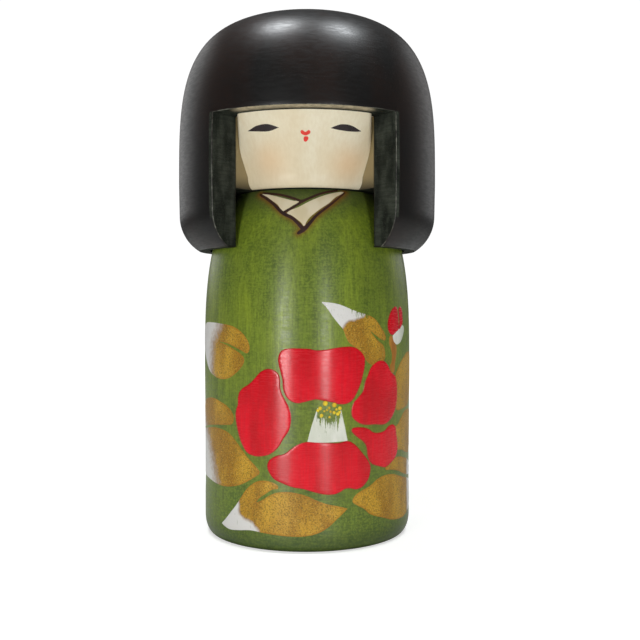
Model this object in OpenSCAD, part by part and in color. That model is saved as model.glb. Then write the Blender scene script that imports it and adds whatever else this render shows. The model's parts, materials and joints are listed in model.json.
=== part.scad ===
// Kokeshi doll with bobbed hair, turned from four pieces of wood.
// The foot stands on z = 0 and the lathe axis is the Z axis. The face looks along -Y.
// The head sits on the flat top of the body and turns on a round peg.

/* [Body] */
// Diameter of the body at its widest place, the belly
body_d = 64.9; // [50:0.1:80]
// Diameter of the straight part of the body above the foot
foot_d = 64.5; // [50:0.1:80]
// Height of the body, from the table to the flat seat of the head
body_h = 105; // [85:1:140]
// Height of the belly above the table
belly_z = 54; // [45:1:65]
// Height below which the body is straight
waist_z = 22; // [12:1:35]
// Diameter of the flat seat on top of the shoulders
seat_d = 45.4; // [32:0.2:48]
// Fullness of the shoulders: 2 is an ellipse, more is squarer
shoulder_fullness = 2.9; // [2.2:0.1:3.5]
// Width of the rounding at the foot, measured along the table
foot_round_w = 2.7; // [0.5:0.1:5]
// Height of the rounding at the foot
foot_round_h = 5.5; // [1:0.5:10]

/* [Hair] */
// Height of the head above its seat, up to the crown
head_h = 55; // [46:0.5:70]
// Thickness of the hair around the face core
hair_wall = 9.5; // [8:0.1:14]
// Height of the widest place of the hair above the seat
hair_mid_h = 3.4; // [2:0.1:12]
// Fullness of the crown: 2 is an ellipse, more is squarer
crown_fullness = 3.5; // [2.2:0.1:4]
// How much narrower the hair is where its lower rounding starts, on the radius
hair_taper = 0.2; // [0:0.1:1]
// How far the hair hangs below the seat
skirt_drop = 17.3; // [10:0.1:20]
// Radius of the rounding at the lower edge of the hair
hair_round_r = 12.7; // [9:0.1:16]
// Width of the flat lip under the hair
lip_w = 3.2; // [1:0.1:4]

/* [Face] */
// Height of the fringe above the seat
fringe_h = 20.9; // [16:0.1:26]
// Angle of the opening in the hair, seen from above
window_angle = 81.2; // [60:0.2:100]
// How far the chin stands out past the seat, on the radius
chin_lip = 1.4; // [0.6:0.1:3]
// Radius of the face just above the chin, past the seat
cheek_lip = 3.6; // [3:0.1:6]
// Height of the round of the chin
chin_round_h = 3.6; // [2:0.1:5]
// How far the brow stands out past the core, on the radius
brow_proud = 3.3; // [1:0.1:5]
// Height of the core above the fringe
core_above_fringe = 12; // [6:0.5:16]

/* [Neck peg] */
// Diameter of the peg
peg_d = 14; // [8:0.5:20]
// Length of the peg that is glued into the body
peg_in_body = 18; // [10:0.5:30]
// Length of the peg that stands in the head
peg_in_head = 16; // [8:0.5:18]
// Chamfer at both ends of the peg
peg_chamfer = 0.8; // [0.2:0.1:1.5]

/* [Clearances] */
// Radial clearance of the peg in the head, where the head turns
turn_clearance = 0.05; // [0.02:0.01:0.1]
// Radial clearance of a glued fit
glue_clearance = 0.03; // [0.01:0.01:0.1]
// Gap between the head and its seat
seat_clearance = 0.1; // [0.05:0.05:0.3]
// Gap between the shoulders and the hair, at the lip of the hair
skirt_clearance = 0.9; // [0.5:0.1:2]
// Gap between the side of the brow and the cut face of the hair
brow_clearance = 0.7; // [0.3:0.1:1.5]
// Space left past the end of the peg in the head
peg_end_clearance = 0.6; // [0.3:0.1:2]

/* [Hidden] */

round_fn = 160;   // sides of a turned surface where it is drawn
cut = 1;          // how far a cutting solid runs past the face that it cuts
body_steps = 14;  // steps along the shoulders
waist_steps = 8;  // steps along the swell from the waist to the belly
foot_steps = 6;   // steps around the foot rounding
crown_steps = 26; // steps along the crown
hair_steps = 8;   // steps around the lower rounding of the hair
chin_steps = 6;   // steps around the chin

belly_r = body_d / 2;
foot_r = foot_d / 2;
seat_r = seat_d / 2;
peg_r = peg_d / 2;

// Height above the belly at which the shoulder curve would reach the axis
shoulder_span = (body_h - belly_z)
    / pow(1 - pow(seat_r / belly_r, shoulder_fullness), 1 / shoulder_fullness);

// Radius of the shoulders at height z
function shoulder_r(z) = belly_r
    * pow(1 - pow((z - belly_z) / shoulder_span, shoulder_fullness), 1 / shoulder_fullness);

// Radius of the swell between the waist and the belly at height z
function swell_r(z) = foot_r
    + (belly_r - foot_r) * (1 - cos(180 * (z - waist_z) / (belly_z - waist_z))) / 2;

head_z = body_h + seat_clearance;
rim_z = body_h - skirt_drop;
fringe_z = head_z + fringe_h;
core_top_z = fringe_z + core_above_fringe;
crown_z = body_h + head_h;
hair_mid_z = body_h + hair_mid_h;

bore_r = shoulder_r(rim_z) + skirt_clearance;
core_r = bore_r - glue_clearance;
hair_r = bore_r + hair_wall;
hair_low_r = hair_r - hair_taper;
round_x = hair_low_r - hair_round_r;
round_z = rim_z + sqrt(pow(hair_round_r, 2) - pow(bore_r + lip_w - round_x, 2));
round_end = acos((bore_r + lip_w - round_x) / hair_round_r);

chin_r = seat_r + chin_lip;
cheek_r = seat_r + cheek_lip;
brow_r = core_r + brow_proud;
brow_half_w = bore_r * sin(window_angle / 2) - brow_clearance;

foot_outline = [for (i = [0 : foot_steps]) let (a = 90 * i / foot_steps)
    [foot_r - foot_round_w * (1 - sin(a)), foot_round_h * (1 - cos(a))]];
swell_outline = [for (i = [0 : waist_steps]) let (z = waist_z + (belly_z - waist_z) * i / waist_steps)
    [swell_r(z), z]];
shoulder_outline = [for (i = [1 : body_steps])
    let (z = belly_z + (body_h - belly_z) * sin(90 * i / body_steps))
    [shoulder_r(z), z]];
body_outline = concat([[0, 0]], foot_outline, swell_outline, shoulder_outline, [[0, body_h]]);

crown_outline = [for (i = [1 : crown_steps]) let (a = 90 * (1 - i / crown_steps))
    [hair_r * pow(sin(90 - a), 2 / crown_fullness),
        hair_mid_z + (crown_z - hair_mid_z) * pow(sin(a), 2 / crown_fullness)]];
hair_round_outline = [for (i = [0 : hair_steps]) let (a = round_end * i / hair_steps)
    [round_x + hair_round_r * cos(a), round_z - hair_round_r * sin(a)]];
hair_outline = concat([[0, crown_z]], crown_outline, hair_round_outline, [[0, rim_z]]);

chin_outline = [for (i = [0 : chin_steps]) let (a = 90 * i / chin_steps)
    [chin_r + (cheek_r - chin_r) * sin(a), head_z + chin_round_h * (1 - cos(a))]];
face_outline = concat([[0, head_z]], chin_outline, [[brow_r, fringe_z], [0, fringe_z]]);

// The space of the window: a wedge that opens from the axis towards -Y
module window_wedge(low_z, high_z) {
    reach = 2 * hair_r;
    half = window_angle / 2;
    translate([0, 0, low_z])
        linear_extrude(height = high_z - low_z)
            polygon([[0, 0], [-reach * sin(half), -reach * cos(half)],
                [reach * sin(half), -reach * cos(half)]]);
}

// A solid turned on the lathe from its outline
module turned(outline) {
    rotate_extrude($fn = round_fn)
        polygon(outline);
}

// The body: one block, with a round bore in its seat for the peg
module body() {
    color("olivedrab")
        difference() {
            turned(body_outline);
            translate([0, 0, body_h - peg_in_body])
                cylinder(r = peg_r + glue_clearance, h = peg_in_body + cut, $fn = round_fn);
        }
}

// The peg: a dowel, glued into the body, that the head turns on
module neck_peg() {
    length = peg_in_body + peg_in_head;
    color("burlywood")
        translate([0, 0, body_h - peg_in_body]) {
            cylinder(r1 = peg_r - peg_chamfer, r2 = peg_r, h = peg_chamfer, $fn = round_fn);
            translate([0, 0, peg_chamfer])
                cylinder(r = peg_r, h = length - 2 * peg_chamfer, $fn = round_fn);
            translate([0, 0, length - peg_chamfer])
                cylinder(r1 = peg_r, r2 = peg_r - peg_chamfer, h = peg_chamfer, $fn = round_fn);
        }
}

// The face block: a pale core that fills the hair, with the face turned on its front
module face_block() {
    color("antiquewhite")
        difference() {
            union() {
                difference() {
                    translate([0, 0, head_z])
                        cylinder(r = core_r, h = core_top_z - head_z, $fn = round_fn);
                    window_wedge(head_z - cut, fringe_z);
                }
                intersection() {
                    turned(face_outline);
                    translate([-brow_half_w, -brow_r - cut, head_z])
                        cube([2 * brow_half_w, brow_r + cut, fringe_h]);
                }
            }
            translate([0, 0, head_z - cut])
                cylinder(r = peg_r + turn_clearance,
                    h = peg_in_head + peg_end_clearance + cut, $fn = round_fn);
        }
}

// The hair: a domed cap, bored from below for the core, with the window sawn out of its front
module hair_cap() {
    color("dimgray")
        difference() {
            turned(hair_outline);
            translate([0, 0, rim_z - cut])
                cylinder(r = bore_r, h = core_top_z - rim_z + cut, $fn = round_fn);
            window_wedge(rim_z - cut, fringe_z);
        }
}

body();
neck_peg();
face_block();
hair_cap();
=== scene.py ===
# %% [markdown]
# # A kokeshi doll with bobbed hair
#
# The doll is four turned pieces of wood: a green body, a pale face block, a black cap of hair and
# a hidden peg that the head turns on. A camellia, its leaves and a collar are painted on the body.
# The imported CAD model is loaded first, because every piece here has to sit on it. Sizes are
# thought of in millimetres, as on a lathe drawing, and turned into metres where a mesh is made.

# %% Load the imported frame
import json
import math

import bmesh
import bpy
import numpy as np
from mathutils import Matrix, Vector
from mathutils.geometry import delaunay_2d_cdt
from mathutils.kdtree import KDTree

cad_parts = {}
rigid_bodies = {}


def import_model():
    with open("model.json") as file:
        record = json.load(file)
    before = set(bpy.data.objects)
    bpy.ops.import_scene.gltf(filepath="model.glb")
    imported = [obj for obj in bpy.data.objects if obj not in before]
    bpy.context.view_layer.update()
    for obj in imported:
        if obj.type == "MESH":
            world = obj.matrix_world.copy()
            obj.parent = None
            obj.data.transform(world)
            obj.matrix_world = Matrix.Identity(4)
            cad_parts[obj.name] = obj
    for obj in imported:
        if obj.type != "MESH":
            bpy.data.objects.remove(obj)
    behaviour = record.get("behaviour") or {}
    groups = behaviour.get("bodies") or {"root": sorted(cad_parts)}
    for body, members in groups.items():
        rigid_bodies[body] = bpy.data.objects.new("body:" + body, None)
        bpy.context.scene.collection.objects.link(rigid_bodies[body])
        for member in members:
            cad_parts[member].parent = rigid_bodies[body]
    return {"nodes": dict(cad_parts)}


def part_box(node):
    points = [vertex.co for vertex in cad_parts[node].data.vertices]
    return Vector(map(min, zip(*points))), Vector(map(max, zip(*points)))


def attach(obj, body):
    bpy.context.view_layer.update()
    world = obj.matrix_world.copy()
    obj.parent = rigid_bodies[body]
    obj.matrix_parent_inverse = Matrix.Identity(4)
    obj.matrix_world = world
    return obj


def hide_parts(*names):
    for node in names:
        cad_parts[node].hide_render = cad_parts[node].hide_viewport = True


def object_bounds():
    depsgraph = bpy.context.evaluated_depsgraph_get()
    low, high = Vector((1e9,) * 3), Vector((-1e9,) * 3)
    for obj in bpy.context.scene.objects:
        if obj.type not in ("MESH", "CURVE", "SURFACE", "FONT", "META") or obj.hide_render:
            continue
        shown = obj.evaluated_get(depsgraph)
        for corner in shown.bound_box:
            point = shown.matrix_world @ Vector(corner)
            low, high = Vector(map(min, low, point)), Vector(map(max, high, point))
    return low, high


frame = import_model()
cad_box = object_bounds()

MM = 0.001

# %% [markdown]
# ## The lathe drawing
#
# The heights and radii come from the boxes of the CAD pieces, so the looks follow the real part if
# it ever changes. What a box can't tell, such as how full a shoulder is, is a turner's number here.

# %% Heights and radii from the CAD boxes
def box_mm(node):
    """The lowest and highest corner of a CAD piece, in millimetres."""
    low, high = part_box(node)
    return low / MM, high / MM


_, body_high = box_mm("body")
hair_low, hair_high = box_mm("hair_cap")
face_low, face_high = box_mm("face_block")
peg_low, peg_high = box_mm("neck_peg")

belly_r = body_high.x
seat_z = body_high.z
head_z = face_low.z
core_top_z = face_high.z
rim_z = hair_low.z
crown_z = hair_high.z
hair_r = hair_high.x
peg_r = peg_high.x
print("belly radius", round(belly_r, 2), "seat", round(seat_z, 2), "crown", round(crown_z, 2))

# %% Numbers a turner would choose
belly_z = 54.0
waist_z = 22.0
foot_r = belly_r - 0.2
seat_r = 22.7
shoulder_fullness = 2.9
foot_round_w = 2.7
foot_round_h = 5.5

hair_wall = 9.5
bore_r = hair_r - hair_wall
hair_mid_z = seat_z + 3.4
hair_taper = 0.2
crown_fullness = 3.5
hair_round_r = 12.7
lip_w = 3.2
half_window = math.radians(40.6)
fringe_z = head_z + 20.9

glue_gap = 0.03  # round a glued fit
turn_gap = 0.05  # round the peg in the head, where it turns
brow_gap = 0.7  # between the trimmed side of the brow and the sawn hair
core_r = bore_r - glue_gap
chin_r = seat_r + 1.4
cheek_r = seat_r + 3.6
chin_round_h = 3.6
brow_r = core_r + 3.3
brow_half_w = bore_r * math.sin(half_window) - brow_gap
peg_hole_h = 16.6
drawn_r = 32.0  # the radius at which the painted shapes are measured along the arc
print("half width of the brow", round(brow_half_w, 2), "height of the fringe", round(fringe_z, 2))

# %% The profile of the body
shoulder_share = (1 - (seat_r / belly_r) ** shoulder_fullness) ** (1 / shoulder_fullness)
shoulder_span = (seat_z - belly_z) / shoulder_share


def body_radius(z):
    """The radius of the body at height z: a rounded foot, a slow swell and full shoulders."""
    if z >= belly_z:
        share = min((z - belly_z) / shoulder_span, 1.0)
        return belly_r * (1 - share ** shoulder_fullness) ** (1 / shoulder_fullness)
    if z >= waist_z:
        phase = math.pi * (z - waist_z) / (belly_z - waist_z)
        return foot_r + (belly_r - foot_r) * (1 - math.cos(phase)) / 2
    if z >= foot_round_h:
        return foot_r
    rise = 1 - max(z, 0.0) / foot_round_h
    return foot_r - foot_round_w * (1 - math.sqrt(max(0.0, 1 - rise ** 2)))


print("body radius at the foot, belly and seat:",
      [round(body_radius(z), 2) for z in (0, belly_z, seat_z)])

# %% The profiles of the hair and of the face
round_x = hair_r - hair_taper - hair_round_r
round_z = rim_z + math.sqrt(hair_round_r ** 2 - (bore_r + lip_w - round_x) ** 2)


def hair_radius(z):
    """The outer radius of the hair at height z."""
    if z >= hair_mid_z:
        share = min((z - hair_mid_z) / (crown_z - hair_mid_z), 1.0)
        return hair_r * (1 - share ** crown_fullness) ** (1 / crown_fullness)
    if z >= round_z:
        return hair_r - hair_taper * (hair_mid_z - z) / (hair_mid_z - round_z)
    return round_x + math.sqrt(hair_round_r ** 2 - (round_z - z) ** 2)


def face_radius(z):
    """The radius of the turned face at height z: a round chin, then a straight flare."""
    up = z - head_z
    if up < chin_round_h:
        share = 1 - max(up, 0.0) / chin_round_h
        return chin_r + (cheek_r - chin_r) * math.sqrt(1 - share ** 2)
    return cheek_r + (brow_r - cheek_r) * (up - chin_round_h) / (fringe_z - head_z - chin_round_h)


print("hair radius at the rim, middle:", round(hair_radius(rim_z), 2), round(hair_radius(hair_mid_z), 2))
print("face radius at the chin, brow:", round(face_radius(head_z), 2), round(face_radius(fringe_z), 2))

# %% [markdown]
# ## Node tools
#
# Every finish below is a small shader tree. A few helpers keep them readable: `wire` adds one node
# and plugs values or other nodes into it, `new_group` starts a node group with named sockets, and
# `use` places a group in a tree. A group is how Blender shares one effect, such as wood figure,
# between many materials. `glaze` lays thin colours over one another, each through its own mask.

# %% Helpers for shader nodes
FLOAT, COLOUR = "Float", "Color"


def set_sockets(tree, sockets, values):
    """Links each named socket to another node's output, or sets it to a plain value."""
    for key, value in values.items():
        if isinstance(value, bpy.types.NodeSocket):
            tree.links.new(value, sockets[key])
        else:
            sockets[key].default_value = value


def wire(tree, kind, inputs=None, **settings):
    """Adds one shader node; inputs maps a socket to a value or to another node's output."""
    node = tree.nodes.new("ShaderNode" + kind)
    for key, value in settings.items():
        setattr(node, key, value)
    set_sockets(tree, node.inputs, inputs or {})
    return node


def new_group(name, inputs, outputs):
    """A shader node group; inputs are (name, type, value) and outputs are (name, type)."""
    group = bpy.data.node_groups.new(name, "ShaderNodeTree")
    for label, kind, value in inputs:
        socket = group.interface.new_socket(label, in_out="INPUT", socket_type="NodeSocket" + kind)
        socket.default_value = value
    for label, kind in outputs:
        group.interface.new_socket(label, in_out="OUTPUT", socket_type="NodeSocket" + kind)
    return group, group.nodes.new("NodeGroupInput").outputs, group.nodes.new("NodeGroupOutput").inputs


def use(tree, group, inputs=None):
    """Places a node group in a tree and returns its outputs."""
    node = tree.nodes.new("ShaderNodeGroup")
    node.node_tree = group
    set_sockets(tree, node.inputs, inputs or {})
    return node.outputs

# %% Helpers for numbers and colours
def calc(tree, operation, a, b=0.0, clamp=False):
    """One Math node; returns its output."""
    return wire(tree, "Math", {0: a, 1: b}, operation=operation, use_clamp=clamp).outputs[0]


def times(tree, a, b):
    """One number times another."""
    return calc(tree, "MULTIPLY", a, b)


def ramp(tree, value, low, high, start=0.0, end=1.0):
    """Goes smoothly from start to end as value goes from low to high."""
    node = wire(tree, "MapRange", {"Value": value, "From Min": low, "From Max": high,
                                   "To Min": start, "To Max": end},
                interpolation_type="SMOOTHSTEP")
    return node.outputs["Result"]


def mix_colour(tree, amount, first, second):
    """The first colour where amount is 0, the second where it is 1."""
    node = wire(tree, "Mix", {0: amount, 6: first, 7: second}, data_type="RGBA")
    return node.outputs[2]


def colour(code):
    """A paint colour from its usual six-figure code, as the linear values Blender works in."""
    parts = [int(code[i:i + 2], 16) / 255 for i in (0, 2, 4)]
    linear = [p / 12.92 if p <= 0.04045 else ((p + 0.055) / 1.055) ** 2.4 for p in parts]
    return (*linear, 1.0)


def glaze(tree, under, *coats):
    """Lays coats over a colour in turn; a coat is (code, mask) or (code, mask, strength)."""
    for code, mask, *strength in coats:
        amount = times(tree, mask, strength[0]) if strength else mask
        under = mix_colour(tree, amount, under, colour(code))
    return under

# %% [markdown]
# ## Wood figure, shared by every piece
#
# Wood turned between centres shows two directions at once: fibres that run up the piece and fine
# rings left by the gouge. Noise squeezed along one axis gives each of them. A third, broad noise
# gives the patches where the wood drinks more stain.

# %% Helpers for patterns
def place_mm(tree, stretch=(1.0, 1.0, 1.0)):
    """The place on the piece in millimetres, squeezed along an axis by stretch."""
    place = wire(tree, "TexCoord").outputs["Object"]
    factors = tuple(s / MM for s in stretch)
    return wire(tree, "VectorMath", {0: place, 1: factors}, operation="MULTIPLY").outputs[0]


def noise(tree, vector, scale, detail=3.0, roughness=0.55):
    """One Noise Texture; returns its value."""
    node = wire(tree, "TexNoise", {"Vector": vector, "Scale": scale, "Detail": detail,
                                   "Roughness": roughness})
    return node.outputs["Fac"]


def attribute(tree, name):
    """A number that a mesh carries at its points."""
    return wire(tree, "Attribute", attribute_name=name).outputs["Fac"]

# %% Node group: wood figure
wood_figure, given, result = new_group(
    "Wood figure",
    [("Fibre Scale", FLOAT, 1.2), ("Ring Scale", FLOAT, 2.0), ("Patch Scale", FLOAT, 0.12)],
    [("Fibre", FLOAT), ("Ring", FLOAT), ("Patch", FLOAT), ("Height", FLOAT)],
)
tree = wood_figure
fibre = noise(tree, place_mm(tree, (1, 1, 0.06)), given["Fibre Scale"], 5.0, 0.6)
ring = noise(tree, place_mm(tree, (0.16, 0.16, 1)), given["Ring Scale"], 4.0, 0.6)
patch = noise(tree, place_mm(tree, (1, 1, 0.35)), given["Patch Scale"], 3.0, 0.5)
set_sockets(tree, result, {
    "Fibre": ramp(tree, fibre, 0.32, 0.68),
    "Ring": ramp(tree, ring, 0.34, 0.66),
    "Patch": ramp(tree, patch, 0.34, 0.66),
    "Height": calc(tree, "ADD", times(tree, fibre, 0.5), times(tree, ring, 0.5)),
})
print("group:", wood_figure.name, len(wood_figure.nodes), "nodes")

# %% [markdown]
# ## Edges, flecks and a dry brush
#
# Four more effects come back on several finishes. `Edge band` reads the distance to the nearest
# edge, which each mesh carries as an attribute called gap, and marks a ragged band there, where
# paint pools along its outline. `Rubbed corner` keeps such a band only in the patches that hands
# have rubbed. `Flecks` marks small grains. `Dry brush` marks the streaks where a brush runs out of
# paint and the wood shows through.

# %% Node group: edge band
edge_band, given, result = new_group(
    "Edge band",
    [("Width", FLOAT, 0.4), ("Ragged", FLOAT, 0.3), ("Scale", FLOAT, 1.5)],
    [("Mask", FLOAT)],
)
tree = edge_band
wander = calc(tree, "SUBTRACT", noise(tree, place_mm(tree), given["Scale"]), 0.5)
distance = calc(tree, "ADD", attribute(tree, "gap"), times(tree, wander, given["Ragged"]))
share = calc(tree, "DIVIDE", distance, given["Width"])
set_sockets(tree, result, {"Mask": ramp(tree, share, 0.25, 1.0, 1.0, 0.0)})
print("group:", edge_band.name)

# %% Node group: rubbed corner
rubbed_corner, given, result = new_group(
    "Rubbed corner",
    [("Width", FLOAT, 0.26), ("Ragged", FLOAT, 0.4), ("Patchiness", FLOAT, 0.16)],
    [("Mask", FLOAT)],
)
tree = rubbed_corner
band = use(tree, edge_band, {"Width": given["Width"], "Ragged": given["Ragged"], "Scale": 0.9})["Mask"]
handling = ramp(tree, noise(tree, place_mm(tree), given["Patchiness"]), 0.36, 0.62, 0.08, 0.8)
set_sockets(tree, result, {"Mask": times(tree, band, handling)})
print("group:", rubbed_corner.name)

# %% Node group: flecks
flecks, given, result = new_group(
    "Flecks",
    [("Scale", FLOAT, 3.0), ("Level", FLOAT, 0.6), ("Softness", FLOAT, 0.06)],
    [("Mask", FLOAT)],
)
tree = flecks
grain_noise = noise(tree, place_mm(tree), given["Scale"], 2.0, 0.6)
above = calc(tree, "SUBTRACT", grain_noise, given["Level"])
set_sockets(tree, result, {"Mask": calc(tree, "DIVIDE", above, given["Softness"], clamp=True)})
print("group:", flecks.name)

# %% Node group: dry brush
dry_brush, given, result = new_group(
    "Dry brush",
    [("Bare", FLOAT, 0.0), ("Streaks", FLOAT, 2.4), ("Length", FLOAT, 0.3)],
    [("Mask", FLOAT)],
)
tree = dry_brush
streak_place = wire(tree, "CombineXYZ", {
    "X": times(tree, attribute(tree, "across"), given["Streaks"]),
    "Y": times(tree, attribute(tree, "along"), given["Length"]),
}).outputs[0]
streak = noise(tree, streak_place, 1.0, 4.0, 0.6)
lack = calc(tree, "SUBTRACT", given["Bare"], ramp(tree, streak, 0.3, 0.7))
set_sockets(tree, result, {"Mask": ramp(tree, lack, -0.08, 0.08)})
print("group:", dry_brush.name)

# %% [markdown]
# ## Green stain, with painted shade
#
# The body is pale wood rubbed with a thin olive stain under clear lacquer, so fibres and tool
# rings stay visible. It is a group of its own because the painted pieces need it too: where their
# paint is worn thin, the very same wood has to show. It also darkens the green towards the seat and
# at the foot: painted shade under the chin and hair, and where the foot meets the floor.

# %% Node group: green stain
green_stain_and_shade, given, result = new_group(
    "Green stain and shade",
    [("Fibre Strength", FLOAT, 0.55), ("Ring Strength", FLOAT, 0.3)],
    [("Colour", COLOUR), ("Roughness", FLOAT), ("Height", FLOAT)],
)
tree = green_stain_and_shade
figure = use(tree, wood_figure, {"Fibre Scale": 1.1, "Ring Scale": 2.2, "Patch Scale": 0.11})
fine = use(tree, wood_figure, {"Fibre Scale": 2.3, "Ring Scale": 3.4, "Patch Scale": 0.4})
streak = noise(tree, place_mm(tree, (1, 1, 0.035)), 0.32, 3.0, 0.5)
mottle = use(tree, flecks, {"Scale": 1.5, "Level": 0.47, "Softness": 0.12})["Mask"]
height_mm = wire(tree, "SeparateXYZ", {0: place_mm(tree)}).outputs["Z"]

stain = mix_colour(tree, figure["Patch"], colour("87992a"), colour("607526"))
stain = glaze(tree, stain,
              ("3c572d", ramp(tree, height_mm, 0.0, 66.0, 1.0, 0.0), 0.68),
              ("475522", figure["Fibre"], given["Fibre Strength"]),
              ("3c4d1c", ramp(tree, streak, 0.52, 0.72, 0.0, 0.55)),
              ("93a332", figure["Ring"], given["Ring Strength"]),
              ("3f5116", fine["Fibre"], 0.42),
              ("556c1a", fine["Ring"], 0.12),
              ("9db23c", mottle, 0.2),
              # painted shade: darker towards the seat, under the chin and the hair
              ("3b4328", ramp(tree, height_mm, 95.0, 105.0, 0.0, 0.7)),
              # painted shade at the foot, where it meets the floor
              ("2f3f22", ramp(tree, height_mm, 0.0, 9.0, 0.6, 0.0)))
set_sockets(tree, result, {
    "Colour": stain,
    "Roughness": ramp(tree, figure["Ring"], 0.0, 1.0, 0.31, 0.4),
    "Height": calc(tree, "ADD", figure["Height"], fine["Height"]),
})
print("group:", green_stain_and_shade.name, len(green_stain_and_shade.nodes), "nodes")

# %% Helpers for finishes
QUARTER_TURN = 0.25


def new_finish(name, specular=0.5, turned=0.0):
    """A material with an empty Principled BSDF; returns it, its tree and the BSDF's inputs.

    Tool rings too fine to draw stretch a highlight along the axis; turned says how strongly. The
    tangent runs round the axis, so the stretch gets a quarter turn."""
    material = bpy.data.materials.new(name)
    material.use_nodes = True
    tree = material.node_tree
    sockets = next(n for n in tree.nodes if n.type == "BSDF_PRINCIPLED").inputs
    sockets["Specular IOR Level"].default_value = specular
    if turned:
        sockets["Anisotropic"].default_value = turned
        sockets["Anisotropic Rotation"].default_value = QUARTER_TURN
        tangent = wire(tree, "Tangent", direction_type="RADIAL", axis="Z").outputs[0]
        tree.links.new(tangent, sockets["Tangent"])
    return material, tree, sockets


def plug(tree, sockets, base, roughness, height, relief):
    """Connects colour, roughness and a relief given in millimetres."""
    bump = wire(tree, "Bump", {"Strength": 1.0, "Distance": relief * MM, "Height": height})
    set_sockets(tree, sockets, {"Base Color": base, "Roughness": roughness,
                                "Normal": bump.outputs["Normal"]})

# %% [markdown]
# ## The finish of the body
#
# The green wood also carries the burnt collar lines. A hot tool leaves an orange-brown scorch
# beside its line, so the body mesh carries a number called scorch, and the finish warms the stain
# by it.

# %% Finish: green body
green_lacquer, tree, sockets = new_finish("Green lacquered wood", specular=0.42, turned=0.55)
wood = use(tree, green_stain_and_shade)
scorch_noise = ramp(tree, noise(tree, place_mm(tree), 1.6), 0.3, 0.7, 0.75, 1.1)
scorched = calc(tree, "MULTIPLY", attribute(tree, "scorch"), scorch_noise, clamp=True)
body_colour = glaze(tree, wood["Colour"], ("7a4a14", scorched))
plug(tree, sockets, body_colour, wood["Roughness"], wood["Height"], 0.016)
print("finish:", green_lacquer.name)

# %% [markdown]
# ## Hair, inside and out
#
# Outside, the hair is stained almost black and lacquered: broad faint red-brown patches of wood
# show through, with a few specks of dust in the lacquer. The sawn faces of the opening drink the
# stain unevenly and stay matt, with saw marks, and the stain has rubbed off their corners.

# %% Finish: black hair
black_lacquer, tree, sockets = new_finish("Black lacquered hair", specular=0.3)
figure = use(tree, wood_figure, {"Fibre Scale": 0.9, "Ring Scale": 2.0, "Patch Scale": 0.07})
dust = use(tree, flecks, {"Scale": 0.55, "Level": 0.795, "Softness": 0.02})["Mask"]
hair_colour = glaze(tree, colour("0f0e0d"),
                    ("24150f", figure["Patch"], 0.6),
                    ("0a0909", figure["Ring"], 0.35),
                    ("8d8d88", dust),
                    ("77786c", use(tree, rubbed_corner)["Mask"]))
hair_roughness = ramp(tree, figure["Ring"], 0.0, 1.0, 0.35, 0.42)
plug(tree, sockets, hair_colour, hair_roughness, figure["Height"], 0.008)
print("finish:", black_lacquer.name)

# %% Finish: sawn hair
# The same finish lies on the underside of the face block as painted shade.
sawn_stain_and_shade, tree, sockets = new_finish("Sawn stained wood and shade", specular=0.03)
figure = use(tree, wood_figure, {"Fibre Scale": 2.2, "Ring Scale": 1.6, "Patch Scale": 0.35})
saw_marks = use(tree, flecks, {"Scale": 2.4, "Level": 0.56, "Softness": 0.12})["Mask"]
uneven = ramp(tree, noise(tree, place_mm(tree), 0.5), 0.35, 0.65, 0.6, 1.0)
sawn_colour = glaze(tree, colour("242722"),
                    ("41453d", figure["Patch"]),
                    ("10120f", figure["Ring"], 0.4),
                    ("474b43", saw_marks, 0.35),
                    ("8a8b7e", use(tree, rubbed_corner)["Mask"]),
                    ("e3d2b0", attribute(tree, "fringe"), uneven))
sawn_height = calc(tree, "ADD", figure["Height"], saw_marks)
plug(tree, sockets, sawn_colour, 0.62, sawn_height, 0.08)
print("finish:", sawn_stain_and_shade.name)

# %% [markdown]
# ## Pale wood: the face and the peg
#
# The face is light maple under satin lacquer, with its fibres just visible and a breath of peach
# airbrushed on each cheek. The peg is the same kind of wood left bare.

# %% Finish: face
face_lacquer, tree, sockets = new_finish("Pale lacquered wood", specular=0.5, turned=0.6)
figure = use(tree, wood_figure, {"Fibre Scale": 1.4, "Ring Scale": 1.8, "Patch Scale": 0.1})
# The walls of the opening get painted shade, darker still towards the seat, from numbers on the mesh.
face_colour = glaze(tree, colour("e7dec5"),
                    ("e0d2b3", figure["Patch"]),
                    ("cdb98f", figure["Fibre"], 0.22),
                    ("e9b57c", attribute(tree, "blush")),
                    ("8f7f5a", attribute(tree, "wall")),
                    ("1c1b12", attribute(tree, "painted_seat_shade")))
face_roughness = ramp(tree, figure["Ring"], 0.0, 1.0, 0.36, 0.44)
plug(tree, sockets, face_colour, face_roughness, figure["Height"], 0.012)
print("finish:", face_lacquer.name)

# %% Finish: bare peg
bare_wood, tree, sockets = new_finish("Bare dowel wood", specular=0.3)
figure = use(tree, wood_figure, {"Fibre Scale": 2.0, "Ring Scale": 1.2, "Patch Scale": 0.2})
peg_colour = glaze(tree, colour("d8bf92"), ("b89362", figure["Fibre"]), ("e3cfa6", figure["Patch"], 0.3))
plug(tree, sockets, peg_colour, 0.7, figure["Height"], 0.05)
print("finish:", bare_wood.name)

# %% [markdown]
# ## Paints
#
# The paints are thick, satin colours laid on with a soft brush. Each keeps a little of the wood
# figure, varies in depth over a stroke, and pools into a darker line along its outline. The leaves
# are gold ochre rubbed over green, so dark grains show through, and their tips are dipped in white.

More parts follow.
